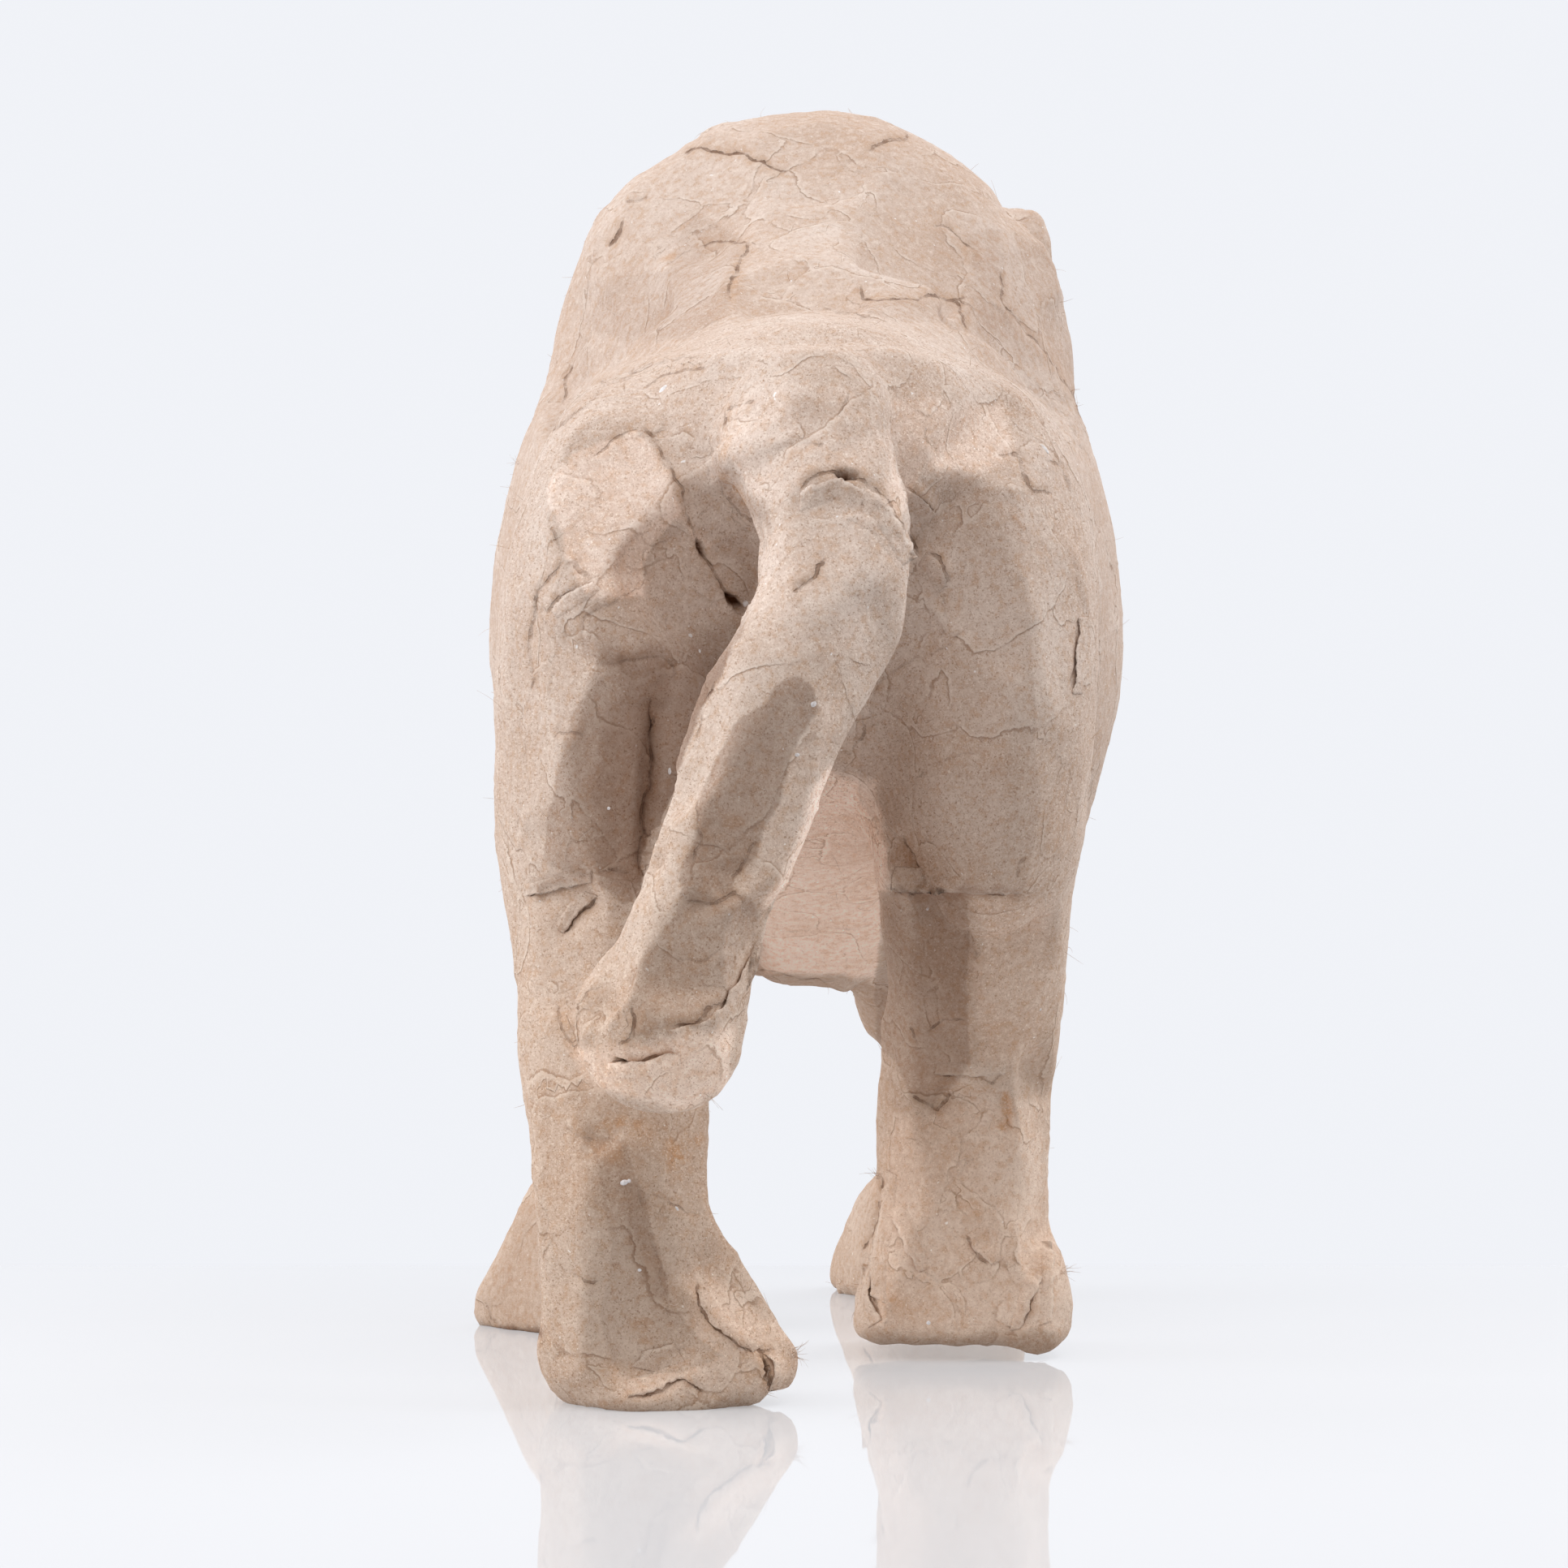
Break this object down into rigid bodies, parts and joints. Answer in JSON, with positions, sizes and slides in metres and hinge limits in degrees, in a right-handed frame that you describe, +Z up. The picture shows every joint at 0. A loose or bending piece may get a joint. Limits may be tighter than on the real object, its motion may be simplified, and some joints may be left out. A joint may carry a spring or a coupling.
{
  "type": "papier-mache lion figure",
  "caption": "Unpainted papier-mache lion in mid-walk, with a heavy mane, broad paws and a thick tail that hangs clear and ends in a tuft.",
  "frame": {"origin": "the middle of the bounding box's base, on the surface that the feet stand on", "axes": "+Y is the way the lion walks, +X its right side, +Z up"},
  "size_m": [0.096, 0.2454, 0.1822],
  "materials": {
    "kraft_paper": "matt torn brown kraft paper, pasted in overlapping strips, unpainted"
  },
  "bodies": {
    "root": {"papier_mache_lion": "kraft_paper"}
  },
  "joints": []
}
